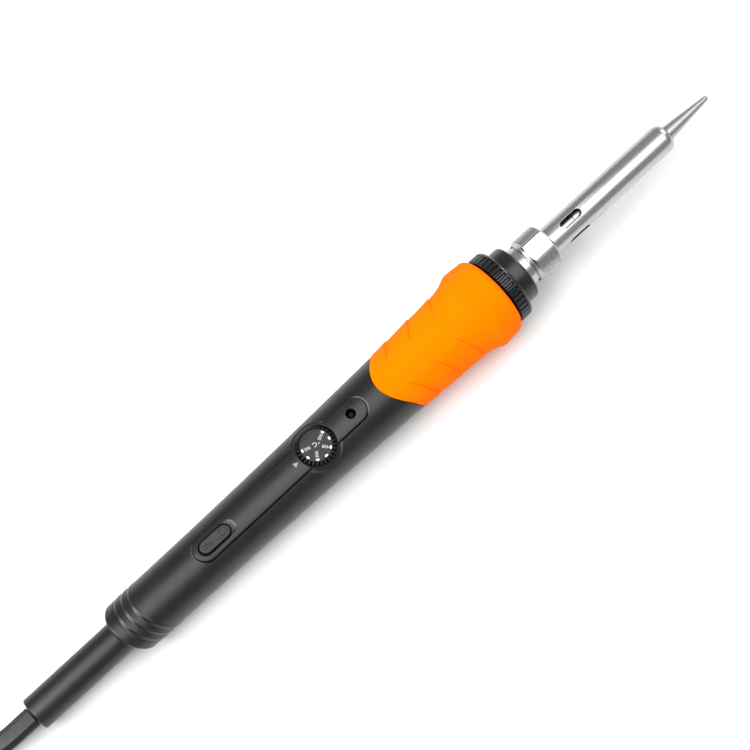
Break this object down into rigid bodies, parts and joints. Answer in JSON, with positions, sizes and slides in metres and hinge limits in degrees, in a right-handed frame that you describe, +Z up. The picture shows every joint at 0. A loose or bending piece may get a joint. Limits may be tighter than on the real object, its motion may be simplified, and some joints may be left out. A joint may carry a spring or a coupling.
{
  "type": "soldering iron",
  "caption": "Slim mains soldering iron with a rubber grip, a temperature dial, a rocker switch, a vented steel barrel and a tied lead with a plug.",
  "frame": {"origin": "bottom centre of the iron's own box, on the surface that the iron lies on; the free lead and what is on it are left out of that box", "axes": "+X runs from the tail to the tip, +Z is up, and the control panel faces up; the iron's axis rises 2.19 degrees towards the tip because it rests on the flare of its grip and on its tail"},
  "size_m": [0.454, 0.0536, 0.0342],
  "materials": {
    "tip_plating": "satin",
    "bright_steel": "satin",
    "heater_ceramic": "matte",
    "black_plastic": "satin",
    "orange_rubber": "matte",
    "dial_plastic": "satin",
    "brass": "satin",
    "lamp_lens": "gloss",
    "circuit_laminate": "satin",
    "component_plastic": "satin",
    "wire_insulation": "matte",
    "relief_rubber": "satin",
    "lead_sheath": "satin",
    "tie_strap": "matte",
    "plug_plastic": "satin",
    "pin_metal": "polished"
  },
  "bodies": {
    "handle": {"threaded_nipple": "bright_steel", "heater_rod": "heater_ceramic", "heater_holder": "heater_ceramic", "front_cap": "black_plastic", "grip_sleeve": "orange_rubber", "handle_shell": "black_plastic", "switch_panel": "black_plastic", "lamp_panel": "black_plastic", "indicator_lamp": "lamp_lens", "circuit_board": "circuit_laminate", "switch_body": "component_plastic", "film_capacitor": "component_plastic", "control_chip": "component_plastic", "potentiometer_body": "component_plastic", "triac": "component_plastic", "smoothing_capacitor": "component_plastic", "dropper_resistor": "component_plastic", "clamp_base": "black_plastic", "clamp_bar": "black_plastic", "clamp_screw_1": "bright_steel", "clamp_screw_2": "bright_steel", "cord_inner_end": "lead_sheath", "mains_core_1": "wire_insulation", "mains_core_2": "wire_insulation", "heater_lead_1": "wire_insulation", "heater_lead_2": "wire_insulation", "heater_lead_3": "wire_insulation", "heater_lead_4": "wire_insulation", "strain_relief": "relief_rubber", "cord_lead": "lead_sheath", "cord_hank": "lead_sheath", "hank_tie": "tie_strap", "cord_end": "lead_sheath", "plug_body": "plug_plastic", "plug_pin_1": "pin_metal", "plug_pin_2": "pin_metal", "pin_sleeve_1": "plug_plastic", "pin_sleeve_2": "plug_plastic"},
    "dial": {"temperature_dial": "dial_plastic", "potentiometer_shaft": "brass"},
    "rocker": {"switch_rocker": "black_plastic"},
    "barrel": {"barrel_tube": "bright_steel", "soldering_tip": "tip_plating"},
    "nut": {"barrel_nut": "bright_steel"},
    "collar": {"locking_collar": "black_plastic"}
  },
  "joints": [
    {"name": "dial_turn", "type": "hinge", "parent": "handle", "child": "dial", "pos_m": [-0.0272, 0, 0.02145], "axis": [-0.0383, 0, 0.9993], "range_deg": [-202, 20]},
    {"name": "switch_rock", "type": "hinge", "parent": "handle", "child": "rocker", "pos_m": [-0.06853, 0, 0.01757], "axis": [0, -1, 0], "range_deg": [0, 7]},
    {"name": "barrel_draw", "type": "slide", "parent": "handle", "child": "barrel", "axis": [0.9993, 0, 0.0383], "range_m": [0, 0.00301]},
    {"name": "nut_turn", "type": "hinge", "parent": "barrel", "child": "nut", "pos_m": [0.0663, 0, 0.01553], "axis": [0.9993, 0, 0.0383], "range_deg": [0, 1440]},
    {"name": "collar_turn", "type": "hinge", "parent": "handle", "child": "collar", "pos_m": [0.05041, 0, 0.01492], "axis": [0.9993, 0, 0.0383], "range_deg": [0, 45]}
  ],
  "couplings": [
    {"joint": "barrel_draw", "follows": "nut_turn", "m_per_rad": 0.00011937}
  ]
}
